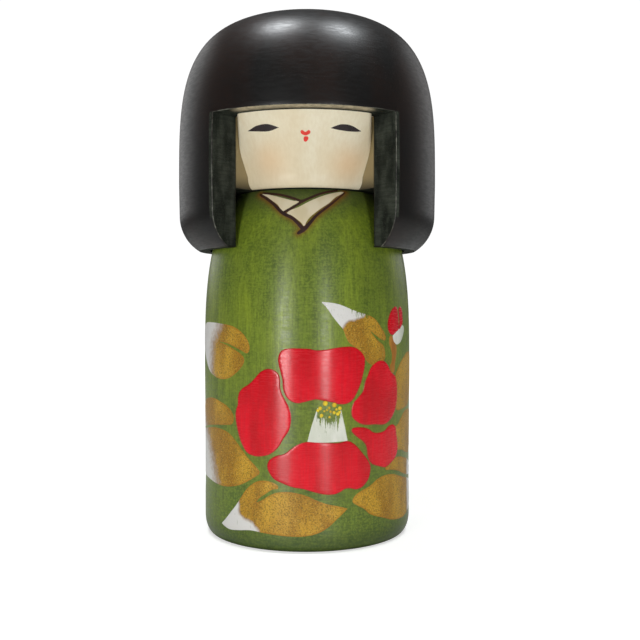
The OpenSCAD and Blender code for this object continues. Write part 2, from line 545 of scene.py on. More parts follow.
# %% Finish: crimson petals
petal_paint, tree, sockets = new_finish("Crimson paint", specular=0.4, turned=0.7)
figure = use(tree, wood_figure, {"Fibre Scale": 1.3, "Ring Scale": 2.2, "Patch Scale": 0.16})
pooled = use(tree, edge_band, {"Width": 0.42, "Ragged": 0.25, "Scale": 1.2})["Mask"]
petal_colour = glaze(tree, colour("e40822"),
                     ("c90618", figure["Patch"]),
                     ("a00818", figure["Fibre"], 0.25),
                     ("7c0a14", pooled, 0.6))
petal_roughness = ramp(tree, figure["Ring"], 0.0, 1.0, 0.23, 0.3)
plug(tree, sockets, petal_colour, petal_roughness, figure["Height"], 0.005)
print("finish:", petal_paint.name)

# %% Finish: gold leaves with white tips
leaf_paint, tree, sockets = new_finish("Gold leaf paint", specular=0.32, turned=0.5)
figure = use(tree, wood_figure, {"Fibre Scale": 1.3, "Ring Scale": 2.0, "Patch Scale": 0.15})
grains = use(tree, flecks, {"Scale": 2.3, "Level": 0.5, "Softness": 0.1})["Mask"]
sparks = use(tree, flecks, {"Scale": 2.4, "Level": 0.57, "Softness": 0.08})["Mask"]
pooled = use(tree, edge_band, {"Width": 0.8, "Ragged": 0.5, "Scale": 0.9})["Mask"]
wander = calc(tree, "SUBTRACT", noise(tree, place_mm(tree), 0.9, 5.0), 0.5)
uneven_tip = calc(tree, "ADD", attribute(tree, "tip"), times(tree, wander, 0.35))
white_share = ramp(tree, uneven_tip, 0.25, 0.75)
half_white = times(tree, white_share, calc(tree, "SUBTRACT", 1.0, white_share))
leaf_colour = glaze(tree, colour("c6992e"),
                    ("a3751e", figure["Patch"]),
                    ("5c4f16", grains, 0.62),
                    ("dcb650", sparks, 0.45),
                    ("a2671a", pooled, 0.5),
                    ("8c6844", half_white, 3.4),
                    ("dcdad6", white_share))
wood = use(tree, green_stain_and_shade)
worn = use(tree, dry_brush, {"Bare": attribute(tree, "bare"), "Streaks": 2.6, "Length": 0.35})["Mask"]
leaf_colour = mix_colour(tree, worn, leaf_colour, wood["Colour"])
plug(tree, sockets, leaf_colour, 0.42, calc(tree, "ADD", figure["Height"], grains), 0.03)
print("finish:", leaf_paint.name)

# %% Finish: white stamens
white_paint, tree, sockets = new_finish("White paint", specular=0.45)
figure = use(tree, wood_figure, {"Fibre Scale": 1.6, "Ring Scale": 2.0, "Patch Scale": 0.3})
white = glaze(tree, colour("e4e4da"), ("cfd2c2", figure["Patch"]))
wood = use(tree, green_stain_and_shade)
worn = use(tree, dry_brush, {"Bare": attribute(tree, "bare"), "Streaks": 1.9, "Length": 0.22})["Mask"]
white = mix_colour(tree, worn, white, wood["Colour"])
plug(tree, sockets, white, 0.45, figure["Height"], 0.03)
print("finish:", white_paint.name)

# %% Finish: small paints and inks
def simple_paint(name, base, deep, rim, roughness=0.45, patch_scale=0.5):
    """A small painted mark: two shades of one colour, and a rim where the paint pools."""
    material, tree, sockets = new_finish(name, specular=0.4)
    figure = use(tree, wood_figure, {"Fibre Scale": 1.8, "Ring Scale": 2.0, "Patch Scale": patch_scale})
    pooled = use(tree, edge_band, {"Width": 0.3, "Ragged": 0.2, "Scale": 1.8})["Mask"]
    shade = glaze(tree, colour(base), (deep, figure["Patch"]), (rim, pooled, 0.55))
    plug(tree, sockets, shade, roughness, figure["Height"], 0.02)
    print("finish:", name)
    return material


pollen_paint = simple_paint("Yellow pollen paint", "ead22a", "d3ae1c", "b08a18")
stem_paint = simple_paint("Ochre stem paint", "b57d2c", "a0661f", "8c5a1c")
collar_paint = simple_paint("Cream collar paint", "e3d8bc", "d8caa6", "c9b488", patch_scale=0.25)
burnt_line = simple_paint("Burnt line", "331a16", "22100e", "55280f", roughness=0.6)
eye_ink = simple_paint("Dark eye ink", "2c2022", "1f1618", "3a2c2b")
lip_ink = simple_paint("Red lip ink", "e23a2c", "d83028", "e05a48")

# %% [markdown]
# ## Turning the body
#
# A turned piece is one profile spun about the axis. Spinning it in code, ring by ring, keeps the
# rings close where the shape bends fast, and gives a closed mesh with the bore for the peg in it.

# %% Helpers for meshes
def turn(angle, radius, z):
    """A point at an angle from the front, which looks along -Y."""
    return radius * math.sin(angle), -radius * math.cos(angle), z


def shade(mesh, corner_deg=35.0):
    """Shades a mesh smooth, but for the edges where it bends by more than the angle."""
    mesh.shade_smooth()
    mesh.set_sharp_from_angle(angle=math.radians(corner_deg))


def make_piece(name, points_mm, faces, material, corner_deg=35.0):
    """A closed mesh from points in millimetres, smooth but for its sharp edges."""
    mesh = bpy.data.meshes.new(name)
    mesh.from_pydata([[c * MM for c in p] for p in points_mm], [], faces)
    mesh.validate()
    piece = bpy.data.objects.new(name, mesh)
    bpy.context.scene.collection.objects.link(piece)
    mesh.materials.append(material)
    shade(mesh, corner_deg)
    return piece


def put_numbers(piece, name, values):
    """Stores one number per point of the mesh, for the material to read."""
    layer = piece.data.attributes.new(name, "FLOAT", "POINT")
    layer.data.foreach_set("value", np.asarray(values, dtype=np.float32))


def points_of(piece):
    """The points of a mesh in millimetres, as an array."""
    flat = np.zeros(len(piece.data.vertices) * 3, dtype=np.float32)
    piece.data.vertices.foreach_get("co", flat)
    return flat.reshape(-1, 3) / MM


def spin(profile, columns):
    """Spins a profile of (radius, z), bottom to top outside, that starts and ends on the axis."""
    points, faces = [], []
    start, end = profile[0], profile[-1]
    points.append((0.0, 0.0, start[1]))
    for radius, z in profile[1:-1]:
        points.extend(turn(2 * math.pi * k / columns, radius, z) for k in range(columns))
    points.append((0.0, 0.0, end[1]))
    rings = len(profile) - 2
    for k in range(columns):
        after = (k + 1) % columns
        faces.append((0, 1 + after, 1 + k))
        for ring in range(rings - 1):
            low = 1 + ring * columns
            high = low + columns
            faces.append((low + k, low + after, high + after, high + k))
        top = 1 + (rings - 1) * columns
        faces.append((top + k, top + after, len(points) - 1))
    return points, faces

# %% The green body
def steps(low, high, size):
    """Even steps from low to high, about size apart, both ends included."""
    count = max(1, round(abs(high - low) / size))
    return [low + (high - low) * k / count for k in range(count + 1)]


body_columns = 288
rounder_z = 86.0  # above this height the shoulders bend fast, so the rings are closer
edge_round = 0.35
foot_ring = [(foot_r - foot_round_w * (1 - math.sin(a)), foot_round_h * (1 - math.cos(a)))
             for a in steps(0.0, math.pi / 2, 0.13)]
heights = steps(foot_round_h, rounder_z, 1.0)[1:] + steps(rounder_z, seat_z, 0.45)[1:]
side_ring = [(body_radius(z), z) for z in heights if z < seat_z - edge_round]
seat_edge = body_radius(seat_z - edge_round)
top_ring = [(seat_edge - 0.08, seat_z - 0.2), (seat_edge - 0.3, seat_z - 0.05),
            (seat_edge - 0.6, seat_z)]
under_foot = [(0.0, 0.0), (10.0, 0.0), (20.0, 0.0)]
bore = peg_r + glue_gap
seat_and_bore = [(15.0, seat_z), (bore, seat_z), (bore, peg_low.z), (0.0, peg_low.z)]
body_profile = under_foot + foot_ring + side_ring + top_ring + seat_and_bore
green_body = make_piece("green_body", *spin(body_profile, body_columns), green_lacquer)
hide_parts("body")
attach(green_body, "base")
print("green_body:", len(green_body.data.vertices), "points")

# %% [markdown]
# ## Cutting the hair
#
# The hair is a turned cap with a bore for the face core. Then a saw opens its front: two upright
# cuts at 41 degrees to each side of the middle and a level cut above the brow. Rather than a
# boolean, the cap is laid out as a net that already has lines along those cuts, so each corner is
# clean and can be rounded over a little, as sandpaper would.

# %% The net of the hair
def round_the_back(count):
    """Even angles behind the opening, from one side of it round to the other, ends left out."""
    whole = 2 * math.pi - 2 * half_window
    return [half_window + whole * k / count for k in range(1, count)]


window_steps = 44
window_columns = [-half_window + 2 * half_window * k / window_steps for k in range(window_steps + 1)]
columns = window_columns + round_the_back(150)
last_window = len(window_columns) - 1

crown_rows = [(hair_r * math.cos(a) ** (2 / crown_fullness),
               hair_mid_z + (crown_z - hair_mid_z) * math.sin(a) ** (2 / crown_fullness))
              for a in steps(math.pi / 2, 0.0, 0.035)[1:]]
upper_rows = [row for row in crown_rows if row[1] > fringe_z + 0.6]
upper_rows.append((hair_radius(fringe_z), fringe_z))
fringe_row = len(upper_rows) - 1
lower_heights = steps(fringe_z, round_z, 1.3)[1:]
round_end = math.acos((bore_r + lip_w - round_x) / hair_round_r)
lower_rows = [(hair_radius(z), z) for z in lower_heights]
lower_rows += [(round_x + hair_round_r * math.cos(a), round_z - hair_round_r * math.sin(a))
               for a in steps(0.0, round_end, 0.07)[1:]]
outer_rows = upper_rows + lower_rows
rim_row = len(outer_rows) - 1
across_wall = 8
print("hair net:", len(columns), "columns,", len(outer_rows), "rows")

# %% The hair as one closed mesh
def hair_net():
    """Points and faces of the hair, each point made once however many faces meet in it."""
    points, faces, made = [], [], {}

    def point(radius, z, column):
        key = (round(radius, 4), round(z, 4), column if radius > 1e-6 else 0)
        if key not in made:
            made[key] = len(points)
            points.append(turn(columns[column], radius, z))
        return made[key]

    def wall(row, step, column):
        radius, z = outer_rows[row]
        return point(radius + (bore_r - radius) * step / across_wall, z, column)

    for column in range(len(columns)):
        after = (column + 1) % len(columns)
        in_window = column < last_window
        faces.append((point(0.0, crown_z, 0), point(*outer_rows[0], column),
                      point(*outer_rows[0], after)))
        for row in range(fringe_row if in_window else rim_row):
            faces.append((wall(row, 0, column), wall(row + 1, 0, column),
                          wall(row + 1, 0, after), wall(row, 0, after)))
        edge = fringe_row if in_window else rim_row
        for step in range(across_wall):
            faces.append((wall(edge, step, column), wall(edge, step + 1, column),
                          wall(edge, step + 1, after), wall(edge, step, after)))
        bore_heights = [z for _, z in outer_rows[fringe_row:edge + 1]][::-1]
        bore_heights += steps(fringe_z, core_top_z, 3.0)[1:]
        for low, high in zip(bore_heights, bore_heights[1:]):
            faces.append((point(bore_r, low, column), point(bore_r, high, column),
                          point(bore_r, high, after), point(bore_r, low, after)))
        faces.append((point(bore_r, core_top_z, column), point(0.0, core_top_z, 0),
                      point(bore_r, core_top_z, after)))
    for column in (0, last_window):
        for row in range(fringe_row, rim_row):
            for step in range(across_wall):
                faces.append((wall(row, step, column), wall(row + 1, step, column),
                              wall(row + 1, step + 1, column), wall(row, step + 1, column)))
    return points, faces


hair = make_piece("hair", *hair_net(), black_lacquer)
hair.data.materials.append(sawn_stain_and_shade)
print("hair:", len(hair.data.vertices), "points before its corners are eased")

# %% Easing the sawn corners
def rework(piece, change=None):
    """Turns all faces outwards, after a change if one is given, and counts the open edges."""
    net = bmesh.new()
    net.from_mesh(piece.data)
    bmesh.ops.recalc_face_normals(net, faces=net.faces)
    if change:
        change(net)
        bmesh.ops.recalc_face_normals(net, faces=net.faces)
    open_edges = [e for e in net.edges if not e.is_manifold]
    net.to_mesh(piece.data)
    net.free()
    shade(piece.data)
    print(piece.name, len(piece.data.vertices), "points; open edges:", len(open_edges))


def ease_corners(net):
    """Rounds every outward corner a little, as sandpaper would."""
    width_mm = 0.28
    least_angle = math.radians(40.0)
    corners = [e for e in net.edges
               if e.is_manifold and e.is_convex and e.calc_face_angle(0.0) > least_angle]
    bmesh.ops.bevel(net, geom=corners, offset=width_mm * MM, segments=3, profile=0.5,
                    affect="EDGES", clamp_overlap=True)
    print("corner edges eased:", len(corners))


rework(hair, ease_corners)

# %% Sawn faces
LACQUERED, SAWN_AND_SHADED = 0, 1  # the two material slots of the hair and of the face
DOWNWARDS = -0.9  # a face whose normal has a lower z than this looks down


def mark_sawn_faces():
    """Gives the sawn faces their own finish: the level cut, the upright cuts, lip and bore."""
    side_normals = [Vector((math.cos(half_window), math.sin(half_window) * s, 0)) for s in (-1, 1)]
    for polygon in hair.data.polygons:
        x, y, z = polygon.center / MM
        level = polygon.normal.z < DOWNWARDS and (z < rim_z + 0.3 or abs(z - fringe_z) < 0.3)
        beside_cut = abs(math.atan2(abs(x), -y) - half_window) < 0.02 and z < fringe_z
        upright = beside_cut and max(abs(polygon.normal.dot(n)) for n in side_normals) > 0.97
        inside = math.hypot(x, y) < bore_r + 0.02 and z < core_top_z + 0.1
        polygon.material_index = SAWN_AND_SHADED if level or upright or inside else LACQUERED


mark_sawn_faces()
print("sawn faces:", sum(p.material_index == SAWN_AND_SHADED for p in hair.data.polygons))

# %% How far each point is from a corner
def hair_corner_lines():
    """Points close together along the corners where stain rubs off, with a weight for each.

    The weight of the rim leaves it a thinner line than the opening has."""
    up_step, round_step, rim_weight = 0.15, 0.004, 0.12
    lines = []
    for side in (-1, 1):
        for z in np.arange(rim_z, fringe_z, up_step):
            lines.append((turn(side * half_window, hair_radius(float(z)), float(z)), 0.0))
    for angle in np.arange(-half_window, half_window, round_step):
        lines.append((turn(float(angle), hair_radius(fringe_z), fringe_z), 0.0))
    for angle in np.arange(half_window, 2 * math.pi - half_window, round_step):
        lines.append((turn(float(angle), hair_radius(rim_z), rim_z), rim_weight))
    return lines


def distance_to_lines(points, lines):
    """For each point, the least distance to the lines, in millimetres, plus the line's weight."""
    tree = KDTree(len(lines))
    for k, (place, _) in enumerate(lines):
        tree.insert(place, k)
    tree.balance()
    found = [tree.find(p) for p in points]
    return [distance + lines[k][1] for _, k, distance in found]


hair_points = points_of(hair)
put_numbers(hair, "gap", distance_to_lines(hair_points, hair_corner_lines()))

# %% Thin stain along the fringe, above the face
hair_reach = np.hypot(hair_points[:, 0], hair_points[:, 1])
near_fringe = np.clip(1 - np.abs(hair_points[:, 2] - fringe_z) / 0.5, 0, 1)
over_face = np.clip((brow_half_w + 1.0 - np.abs(hair_points[:, 0])) / 2.0, 0, 1)
front_band = np.clip((hair_reach - (brow_r + 1.2)) / 2.0, 0, 1)
put_numbers(hair, "fringe", near_fringe * over_face * front_band * 0.85)
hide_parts("hair_cap")
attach(hair, "head")
print("hair:", len(hair_points), "points")

# %% [markdown]
# ## The face block
#
# The face is turned on the front of a pale core: a round chin, then a gentle flare up to the brow.
# Its two sides are trimmed flat, and beside them the pale walls of the opening run back to the
# hair. Seen from the axis, each direction and height has just one radius, so the whole block can be
# laid out by angle and height, with close columns where the trimmed corner has to look crisp.

# %% The net of the face block
def front_radius(angle, z):
    """The radius of the front: the turned face, trimmed at its sides with a slightly soft corner."""
    turned = face_radius(z)
    side = abs(math.sin(angle))
    if side < 0.2:  # near the middle, where the trimmed sides are out of reach
        return turned
    trimmed = brow_half_w / side
    soft = 1.4
    blend = max(soft - abs(turned - trimmed), 0.0) / soft
    return min(turned, trimmed) - blend * blend * soft / 4


fringe_gap = 0.03
face_front = steps(-half_window, half_window, math.radians(0.45))
face_columns = face_front + round_the_back(120)
face_rows = [head_z + chin_round_h * (1 - math.cos(a)) for a in steps(0.0, math.pi / 2, 0.16)]
face_rows += steps(face_rows[-1], fringe_z - fringe_gap, 0.7)[1:]
print("face net:", len(face_columns), "columns,", len(face_rows), "rows")

# %% The face block as one closed mesh
def face_net():
    """Points and faces of the face block, with the walls of the opening and the bore."""
    points, faces, made = [], [], {}
    front_last = len(face_front) - 1

    def point(kind, level, column, place):
        key = (kind, level, column)
        if key not in made:
            made[key] = len(points)
            points.append(place)
        return made[key]

    def front(row, column):
        angle, z = face_columns[column], face_rows[row]
        return point("front", row, column, turn(angle, front_radius(angle, z), z))

    def core(row, column):
        angle = face_columns[column]
        heights = face_rows + [core_top_z]
        return point("core", row, column, turn(angle, core_r, heights[row]))

    def hole(level, column):
        z = head_z if level == 0 else head_z + peg_hole_h
        return point("hole", level, column, turn(face_columns[column], peg_r + turn_gap, z))

    top = len(face_rows) - 1
    roof = point("roof", 0, 0, (0.0, 0.0, core_top_z))
    hole_end = point("end", 0, 0, (0.0, 0.0, head_z + peg_hole_h))
    for column in range(len(face_columns)):
        after = (column + 1) % len(face_columns)
        in_front = column < front_last
        skin = front if in_front else core
        for row in range(top):
            faces.append((skin(row, column), skin(row, after), skin(row + 1, after),
                          skin(row + 1, column)))
        if in_front:
            faces.append((front(top, column), front(top, after), core(top, after),
                          core(top, column)))
        faces.append((core(top, column), core(top, after), core(top + 1, after),
                      core(top + 1, column)))
        faces.append((core(top + 1, column), core(top + 1, after), roof))
        faces.append((skin(0, after), skin(0, column), hole(0, column), hole(0, after)))
        faces.append((hole(0, after), hole(0, column), hole(1, column), hole(1, after)))
        faces.append((hole(1, after), hole(1, column), hole_end))
    for column in (0, front_last):
        for row in range(top):
            faces.append((front(row, column), front(row + 1, column), core(row + 1, column),
                          core(row, column)))
        faces.append((front(0, column), core(0, column), hole(0, column)))
    return points, faces


face = make_piece("face", *face_net(), face_lacquer)
# the second slot is painted shade for the underside of the face block
face.data.materials.append(sawn_stain_and_shade)
rework(face)

# %% [markdown]
# ## Blush and shade on the face
#
# Soft changes of colour could be a second painted film, but a film has an edge. They are numbers
# on the points of the face instead: blush on the cheeks, wall for painted shade on the two walls of
# the opening, and a painted shadow that darkens these walls towards the seat. The underside takes
# the dark finish of the sawn hair as painted shade.

# %% Blush, painted wall shade and painted underside shade of the face
def blush_amount(points, centres, size):
    """A soft round patch of colour about each centre, in millimetres."""
    amount = np.zeros(len(points))
    for s, z, strength in centres:
        centre = np.array(turn(s / drawn_r, face_radius(z), z))
        away = np.linalg.norm(points - centre, axis=1)
        amount = np.maximum(amount, strength * np.exp(-(away / size) ** 2))
    return amount


cheeks = [(-12.0, 112.5, 0.34), (15.5, 112.0, 0.42)]
far_from_corners = 5.0
face_points = points_of(face)
face_angle = np.abs(np.arctan2(face_points[:, 0], -face_points[:, 1]))
face_reach = np.hypot(face_points[:, 0], face_points[:, 1])
on_wall = (np.abs(face_angle - half_window) < 0.004) & (face_reach > peg_r + 1.0)
near_seat = np.clip(1 - (face_points[:, 2] - head_z) / 4.5, 0, 1) ** 1.5
put_numbers(face, "blush", blush_amount(face_points, cheeks, 5.2))
# painted shade over the two walls of the opening
put_numbers(face, "wall", on_wall)
# painted shadow that darkens the walls towards the seat
put_numbers(face, "painted_seat_shade", on_wall * near_seat * 0.9)
put_numbers(face, "gap", np.full(len(face_points), far_from_corners))
# the underside takes the dark sawn finish: painted shade under the chin
for polygon in face.data.polygons:
    at_seat = polygon.center.z < (head_z + 0.1) * MM
    underneath = polygon.normal.z < DOWNWARDS and at_seat
    polygon.material_index = SAWN_AND_SHADED if underneath else LACQUERED
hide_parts("face_block")
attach(face, "head")
print("face:", len(face_points), "points,", int(on_wall.sum()), "of them on the walls")

# %% The neck peg keeps its CAD shape
peg = frame["nodes"]["neck_peg"]
peg.data.materials.clear()
peg.data.materials.append(bare_wood)
print("neck_peg radius", round(peg_r, 2), "mm, from", round(peg_low.z, 1), "to", round(peg_high.z, 1))

# %% [markdown]
# ## Painting on a round surface
#
# Each painted shape is an outline drawn on the unrolled surface: s runs round the doll, measured
# close to the belly, and z is the height. A smooth curve goes through the outline's points, the
# inside is filled with small triangles, and the sheet is wrapped on the wood, from a few hundredths
# to a quarter of a millimetre proud, with its rim sunk into the wood. A painted image would be
# simpler, but this gives real paint relief and a crisp edge from close by.

# %% Where the wood is
def wood_surface(radius_at):
    """A function that wraps (s, z) and a lift on a turned surface."""
    def place(s, z, lift):
        slope = (radius_at(z + 0.1) - radius_at(z - 0.1)) / 0.2
        size = math.hypot(1.0, slope)
        radius = radius_at(z) + lift / size
        return turn(s / drawn_r, radius, z - lift * slope / size)
    return place


on_body = wood_surface(body_radius)
on_face = wood_surface(face_radius)

# %% Outlines
def smooth_outline(points, step=0.4):
    """A closed curve through the points, anticlockwise. A third value marks a sharp corner."""
    places = np.array([p[:2] for p in points], dtype=float)
    corner = [len(p) > 2 for p in points]
    follow = np.roll(places, -1, axis=0)
    area = np.sum(places[:, 0] * follow[:, 1] - follow[:, 0] * places[:, 1])
    if area < 0:
        places, corner = places[::-1], corner[::-1]
    count = len(places)
    curve = []
    for k in range(count):
        before, start = places[k - 1], places[k]
        end, after = places[(k + 1) % count], places[(k + 2) % count]
        length = np.linalg.norm(end - start)
        chord = (end - start) / length
        leave = chord if corner[k] else (end - before) / np.linalg.norm(end - before)
        arrive = chord if corner[(k + 1) % count] else (after - start) / np.linalg.norm(after - start)
        parts = max(1, round(length / step))
        for t in np.arange(parts) / parts:
            curve.append((2 * t ** 3 - 3 * t ** 2 + 1) * start + (3 * t ** 2 - 2 * t ** 3) * end
                         + length * ((t ** 3 - 2 * t ** 2 + t) * leave + (t ** 3 - t ** 2) * arrive))
    return np.array(curve)


def distance_to_outline(places, curve):
    """The distance of each place to a closed curve."""
    least = np.full(len(places), 1e9)
    for start, end in zip(curve, np.roll(curve, -1, axis=0)):
        along = end - start
        share = np.clip(((places - start) @ along) / max(along @ along, 1e-12), 0, 1)
        away = places - start - share[:, None] * along
        least = np.minimum(least, np.hypot(away[:, 0], away[:, 1]))
    return least


def is_inside(places, curve):
    """Whether each place lies inside a closed curve, by counting crossings."""
    inside = np.zeros(len(places), dtype=bool)
    for (x1, y1), (x2, y2) in zip(curve, np.roll(curve, -1, axis=0)):
        if y1 == y2:
            continue
        crosses = (places[:, 1] > y1) != (places[:, 1] > y2)
        at = x1 + (places[:, 1] - y1) * (x2 - x1) / (y2 - y1)
        inside ^= crosses & (places[:, 0] < at)
    return inside

# %% Filling an outline
def fill_outline(curve, grid):
    """Triangles that fill a curve, with close rows of points along its rim."""
    row_height = grid * 0.87
    least_gap = grid * 0.75
    low, high = curve.min(axis=0), curve.max(axis=0)
    rows = np.arange(low[1], high[1], row_height)
    filling = [(s + (k % 2) * grid / 2, z) for k, z in enumerate(rows)
               for s in np.arange(low[0], high[0], grid)]
    filling = np.array(filling).reshape(-1, 2)
    clear_of_rim = distance_to_outline(filling, curve) > least_gap
    extra = [filling[is_inside(filling, curve) & clear_of_rim]]
    tangent = np.roll(curve, -1, axis=0) - np.roll(curve, 1, axis=0)
    inward = np.stack([-tangent[:, 1], tangent[:, 0]], axis=1)
    inward /= np.linalg.norm(inward, axis=1)[:, None]
    for inset in (grid * 0.2, grid * 0.5):
        ring = curve + inward * inset
        uncrowded = distance_to_outline(ring, curve) > inset * 0.93
        extra.append(ring[is_inside(ring, curve) & uncrowded])
    places = np.concatenate([curve] + extra)
    vectors = [Vector(p) for p in places]
    rim = list(range(len(curve)))
    found = delaunay_2d_cdt(vectors, [], [rim], 1, 1e-6)
    return np.array([tuple(v) for v in found[0]]), [list(f) for f in found[2]]

# %% A film of paint
SUNK_RIM = 0.03  # how far the rim of a film lies under the surface of the wood
UNDERSIDE = 0.12  # how far its underside does, all over


def film(name, outlines, material, body, surface=on_body, *, thickness, grid=0.8,
         soft=0.4, step=0.4, marks=None):
    """Thin closed sheets of paint, wrapped on the wood; marks maps a name to a function of place."""
    points, faces, gaps, flat = [], [], [], []
    for outline in outlines:
        curve = smooth_outline(outline, step)
        places, triangles = fill_outline(curve, grid)
        gap = distance_to_outline(places, curve)
        rise = np.sqrt(np.clip(gap / soft, 0, 1))
        lift = -SUNK_RIM + (thickness + SUNK_RIM) * rise
        first = len(points)
        under = first + len(places)
        points += [surface(s, z, up) for (s, z), up in zip(places, lift)]
        points += [surface(s, z, -UNDERSIDE) for s, z in places]
        for a, b, c in triangles:
            faces.append((first + a, first + b, first + c))
            faces.append((under + c, under + b, under + a))
        edges = [edge for a, b, c in triangles for edge in ((a, b), (b, c), (c, a))]
        known = set(edges)
        for a, b in edges:
            if (b, a) not in known:
                faces.append((first + b, first + a, under + a, under + b))
        gaps += list(gap) * 2
        flat += list(map(tuple, places)) * 2
    piece = make_piece(name, points, faces, material, corner_deg=60.0)
    flat = np.array(flat)
    put_numbers(piece, "gap", gaps)
    put_numbers(piece, "across", flat[:, 0])
    put_numbers(piece, "along", flat[:, 1])
    for label, amount in (marks or {}).items():
        put_numbers(piece, label, amount(flat))
    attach(piece, body)
    print(name, len(points), "points")

# %% [markdown]
# ## The camellia
#
# Five crimson petals stand apart, with green wood between them, around a white cone of stamens
# tipped with yellow pollen. Each petal is one loaded stroke, so its outline swells and dips.

# %% The petals
petal_outlines = {
    "petal_top": [
        (-7.3, 54.5), (-7.2, 56.3), (-6.2, 57.9), (-4, 58.5), (-1, 58.5), (1.5, 58.4), (3.5, 58.0),
        (6, 58.1), (9, 58.6), (12, 58.9), (14.5, 58.8), (16.7, 57.7), (18.2, 55.8), (18.3, 53.5),
        (17.8, 51), (17, 48.3), (15.8, 45.7), (14.3, 43.5), (12.5, 42.5), (10, 42.4), (8, 43),
        (5, 43.6), (3.5, 43.9), (2, 43.6), (0, 43.1), (-1.5, 42.8), (-3, 43.1), (-4.5, 44.1),
        (-5.5, 45.6), (-6, 47.5), (-6.1, 49.5), (-6.6, 51.5)],
    "petal_left": [
        (-9.8, 52.6), (-8.2, 52.1), (-7.1, 51.1), (-6.6, 49.3), (-6.6, 47.3), (-6, 45.3),
        (-5, 43.5), (-4, 41.5), (-3.5, 39.5), (-3.6, 37), (-4.3, 34.7), (-5.7, 32.7), (-7, 30.5),
        (-8.8, 28.7), (-11, 27.6), (-14.5, 27.2), (-17.2, 28), (-18.8, 29.8), (-20, 32),
        (-21, 35), (-21.6, 38), (-21.4, 40.2), (-20.7, 41.8), (-20.6, 43.8), (-20, 45.5),
        (-18.5, 46.9), (-16.5, 48), (-14.5, 49.8), (-13, 51.4), (-11.5, 52.3)],
    "petal_right_upper": [
        (24, 54.7), (26, 54.2), (27.7, 52.8), (29, 51), (31.3, 49.5), (32.3, 47.5), (32.5, 44.5),
        (32.2, 41.5), (31, 39), (29, 36.9), (26, 35.6), (22, 35.9), (18, 36.1), (15.5, 37.2),
        (14, 38.8), (13.8, 40.8), (14.5, 42.8), (16, 44.3), (17.5, 46), (18.2, 48.5),
        (19.2, 50.5), (20.2, 52.5), (21.8, 54)],
    "petal_right_lower": [
        (14.2, 35.5), (17, 35.6), (19.5, 35), (21.5, 33.8), (24, 33.5), (26, 33.9), (27.8, 35),
        (30, 35.3), (31.7, 34.3), (32.3, 32), (33, 29.5), (33, 27.5), (32, 25.5), (29.5, 24),
        (26.5, 22.9), (24, 23.4), (21.5, 24.2), (20, 25.3), (19.2, 27.2), (18.8, 29.7),
        (17.8, 31.2), (16, 32.5), (14.5, 33.7), (13.8, 34.8)],
    "petal_bottom": [
        (-10.7, 24.7), (-10, 26.5), (-8, 27.8), (-5.5, 28.5), (-3.5, 30), (-1.5, 31.3), (1, 32),
        (4, 31.8), (7, 31.6), (10, 31.5), (12.8, 31.9), (15, 30.8), (16.8, 29), (19, 26.5),
        (20.3, 24.5), (20.4, 22.3), (19.5, 20), (17.5, 18.2), (15.5, 17.7), (13.5, 18.1),
        (12, 18.1), (10.5, 17.3), (8.5, 16.7), (6, 16.8), (3, 17.5), (0, 18.4), (-3, 18.9),
        (-6, 19.9), (-8.5, 21), (-10, 22.7)],
}
for petal_name, outline in petal_outlines.items():
    film(petal_name, [outline], petal_paint, "base", thickness=0.1)

# %% Stamens and pollen
def dry_inside(flat):
    """How dry the brush is: more towards the top of the cone, and never along its two sides."""
    upwards = np.clip((flat[:, 1] - 34.2) / 6.4, 0, 1)
    inwards = np.clip((3.7 - np.abs(flat[:, 0] - 7.2)) / 0.9, 0, 1)
    return 1.05 * upwards * inwards


stamen_outline = [(0.9, 31.7, 1), (6.5, 31.6), (12.8, 31.8, 1), (12.4, 33.5), (11.9, 36), (11.3, 38.5),
                  (10.9, 40.3), (10.5, 41.6, 1), (9.3, 40.7), (8, 40.4), (6.5, 40.5), (5, 40.8),
                  (3.9, 41.7, 1), (3.4, 40.3), (2.8, 38.4), (2.1, 36.2), (1.5, 34.0)]
film("stamens", [stamen_outline], white_paint, "base", thickness=0.08, grid=0.5,
     marks={"bare": dry_inside})


def dab(s, z, size, sides=10):
    """The outline of one round dab of paint."""
    return [(s + size * math.cos(2 * math.pi * k / sides), z + size * math.sin(2 * math.pi * k / sides))
            for k in range(sides)]


pollen_dabs = [(5, 39.4, .6), (7.3, 38.9, .45), (8.6, 40.1, .55), (9.7, 39.7, .6), (7.6, 40.4, .4),
               (6.6, 40.9, .35), (5.8, 40.6, .35), (4.6, 41.4, .6), (4, 40.8, .5), (6.1, 42.8, .75),
               (8.7, 42.3, .7), (7.2, 41.5, .4), (10.3, 41.3, .6), (9.3, 41, .4), (10.2, 40.2, .5),
               (4.9, 39.2, .5)]
film("pollen", [dab(*d) for d in pollen_dabs], pollen_paint, "base",
     thickness=0.26, grid=0.25, soft=0.5, step=0.2)

# %% [markdown]
# ## The leaves
#
# The leaves reach out from under the petals. Those in front are laid down as two strokes, with a
# thin slit of green left for the vein. Some tips are white, and the white fades into the gold in a
# soft, uneven line, which a number called tip carries from 0 to 1.

# %% How white a tip is
def side_of(line, flat):
    """The distance of each place from an open line, positive on its left."""
    nearest = np.full(len(flat), 1e9)
    signed = np.zeros(len(flat))
    line = np.array(line, dtype=float)
    for start, end in zip(line, line[1:]):
        along = end - start
        away = flat - start
        share = np.clip((away @ along) / (along @ along), 0, 1)
        gap = np.hypot(*(away - share[:, None] * along).T)
        left = along[0] * away[:, 1] - along[1] * away[:, 0]
        closer = gap < nearest
        nearest = np.where(closer, gap, nearest)
        signed = np.where(closer, np.sign(left) * gap, signed)
    return signed


def white_left_of(line, soft):
    """White on the left of the line, fading over a width."""
    return lambda flat: np.clip(0.5 + side_of(line, flat) / (2 * soft), 0, 1)


def no_white(flat):
    """White nowhere, for a leaf that is gold to its tip."""
    return np.zeros(len(flat))


